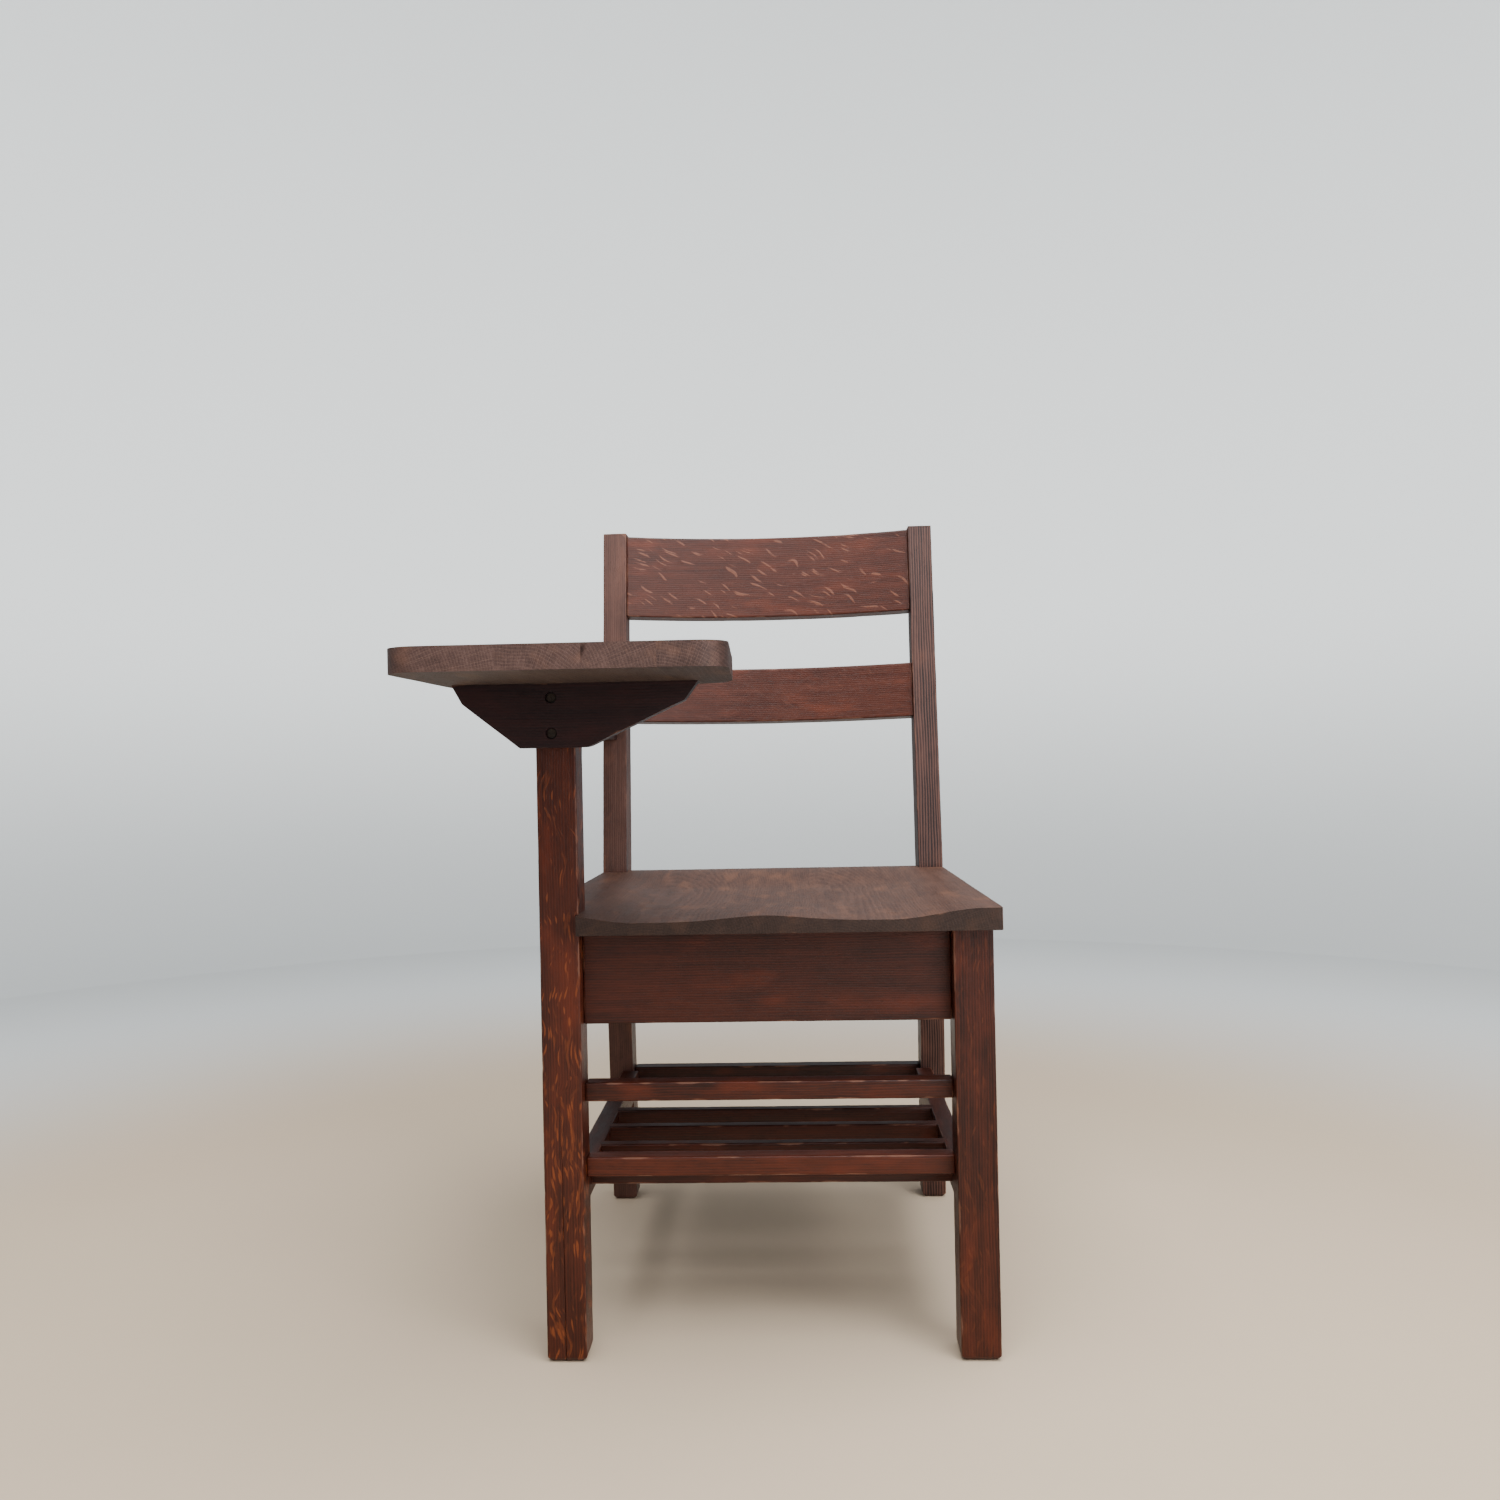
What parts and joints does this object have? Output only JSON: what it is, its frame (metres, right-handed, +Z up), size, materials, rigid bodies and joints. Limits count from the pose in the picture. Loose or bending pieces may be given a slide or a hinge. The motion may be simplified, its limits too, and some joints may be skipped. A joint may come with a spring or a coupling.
{
  "type": "tablet-arm school chair",
  "caption": "Oak school chair with a saddled seat, curved back rails, a fixed writing tablet on a post at the sitter's right, and a slatted book rack under the seat.",
  "frame": {"origin": "on the floor, in the middle of the chair's footprint box", "axes": "+Z up, the sitter faces -Y, +X towards the sitter's left; the tablet is on the -X side"},
  "size_m": [0.5262, 0.7111, 0.87],
  "materials": {
    "frame_oak": "dark stained oak, worn satin varnish",
    "back_oak": "quarter-sawn oak with ray flecks, worn satin varnish",
    "seat_oak": "greyed oak worn by use, dull varnish",
    "tablet_oak": "oak boards, dull varnish, chipped at the lower edge",
    "rack_oak": "dark stained oak, greyed on top",
    "bracket_oak": "very dark stained oak, satin",
    "inner_oak": "plain oak, lightly stained",
    "screw_steel": "tarnished steel"
  },
  "bodies": {
    "root": {"arm_rail": "bracket_oak", "bracket_screws": "screw_steel", "corner_block_front_left": "inner_oak", "corner_block_front_right": "inner_oak", "corner_block_rear_left": "inner_oak", "corner_block_rear_right": "inner_oak", "corner_block_screws": "screw_steel", "crest_rail": "back_oak", "front_apron": "frame_oak", "front_leg": "frame_oak", "front_stretcher": "frame_oak", "lower_back_rail": "back_oak", "rack_front_rail": "rack_oak", "rack_rear_rail": "rack_oak", "rack_side_rail_left": "rack_oak", "rack_side_rail_right": "rack_oak", "rack_slat_1": "rack_oak", "rack_slat_2": "rack_oak", "rack_slat_3": "rack_oak", "rack_slat_4": "rack_oak", "rear_apron": "inner_oak", "rear_post_left": "frame_oak", "rear_post_right": "frame_oak", "seat_board_1": "seat_oak", "seat_board_2": "seat_oak", "seat_board_3": "seat_oak", "seat_board_4": "seat_oak", "seat_board_5": "seat_oak", "seat_screws": "screw_steel", "side_apron_left": "frame_oak", "side_apron_right": "frame_oak", "tablet_board_1": "tablet_oak", "tablet_board_2": "tablet_oak", "tablet_board_3": "tablet_oak", "tablet_board_4": "tablet_oak", "tablet_bracket": "bracket_oak", "tablet_post": "frame_oak", "tablet_screws": "screw_steel"}
  },
  "joints": []
}
